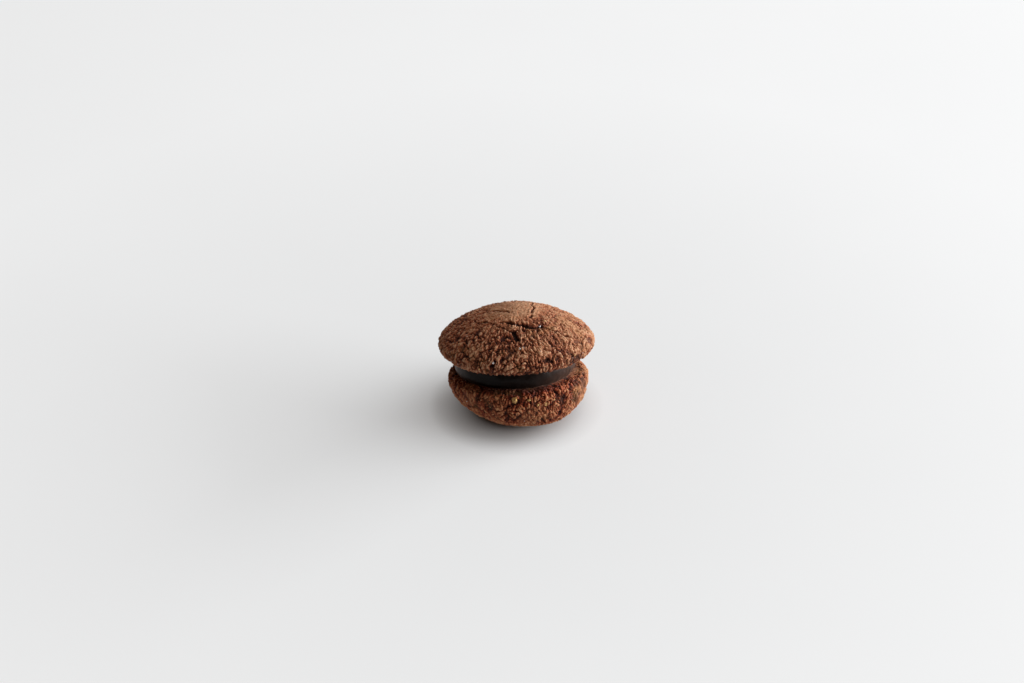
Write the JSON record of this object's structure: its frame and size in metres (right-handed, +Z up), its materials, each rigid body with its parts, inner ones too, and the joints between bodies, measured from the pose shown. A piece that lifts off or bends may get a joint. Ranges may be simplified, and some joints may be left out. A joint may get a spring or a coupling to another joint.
{
  "type": "baci di dama sandwich biscuit",
  "caption": "Craggy chocolate dome biscuits joined flat to flat by a disc of dark chocolate, leaning back on the rounded underside.",
  "frame": {"origin": "on the surface that it stands on, below the middle of the whole piece's bounds", "axes": "+Z up and -Y towards the side seen first. The pair's own axis leans 13.2 degrees from +Z towards +Y and 1.4 degrees towards -X."},
  "size_m": [0.0454, 0.045, 0.0332],
  "materials": {
    "biscuit": "matt baked chocolate dough with a crumbly, cracked crust",
    "chocolate": "set dark chocolate with a soft sheen"
  },
  "bodies": {
    "root": {"upper_biscuit": "biscuit", "filling": "chocolate", "lower_biscuit": "biscuit"}
  },
  "joints": []
}
